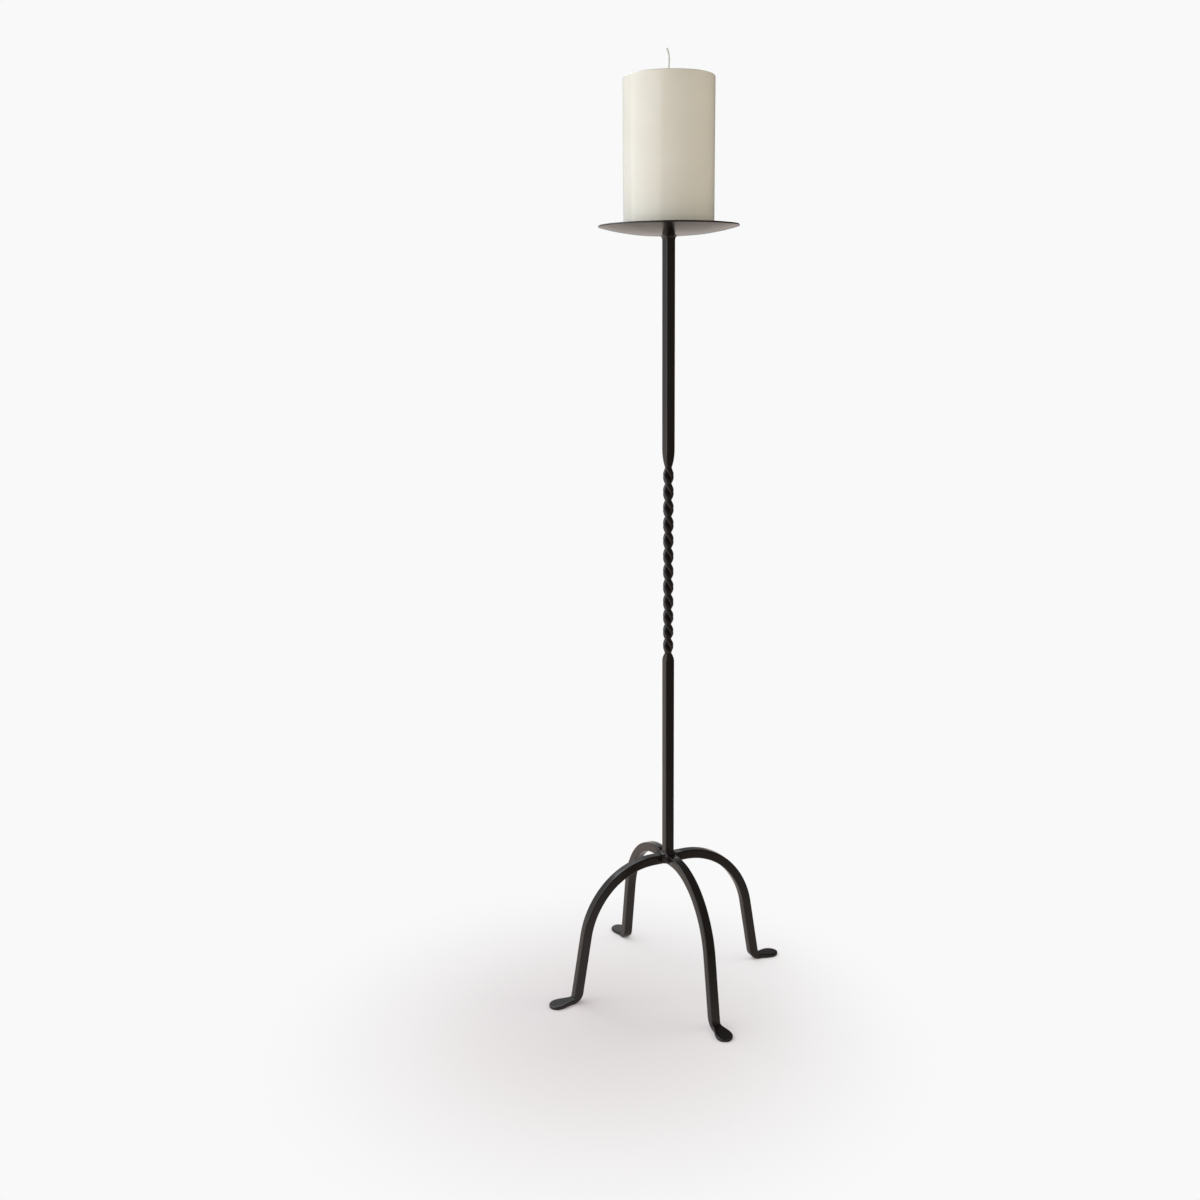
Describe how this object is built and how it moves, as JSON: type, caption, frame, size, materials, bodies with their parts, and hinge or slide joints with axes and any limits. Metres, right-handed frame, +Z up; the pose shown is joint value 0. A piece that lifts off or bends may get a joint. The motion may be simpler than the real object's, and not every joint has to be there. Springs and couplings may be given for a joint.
{
  "type": "candle stand",
  "caption": "Tall black forged-steel floor candle stand with arched legs, a twisted neck and a dished drip pan that holds an ivory pillar candle.",
  "frame": {"origin": "on the floor, under the middle of the stem", "axes": "+Z is up along the stem; +X, +Y, -X and -Y run out along the legs leg_right, leg_back, leg_left and leg_front"},
  "size_m": [0.286, 0.286, 0.9773],
  "materials": {
    "black_steel": "satin",
    "ivory_wax": "satin",
    "cotton_wick": "matt"
  },
  "bodies": {
    "stand": {"lower_bar": "black_steel", "upper_bar": "black_steel", "twist_strand_a": "black_steel", "twist_strand_b": "black_steel", "leg_right": "black_steel", "leg_back": "black_steel", "leg_left": "black_steel", "leg_front": "black_steel", "hub_welds": "black_steel", "drip_pan": "black_steel", "pan_weld_bead": "black_steel", "candle_spike": "black_steel"},
    "candle": {"candle_wax": "ivory_wax", "candle_wick": "cotton_wick"}
  },
  "joints": [
    {"name": "candle_lift", "type": "slide", "parent": "stand", "child": "candle", "axis": [0, 0, 1], "range_m": [0, 0.06]}
  ]
}
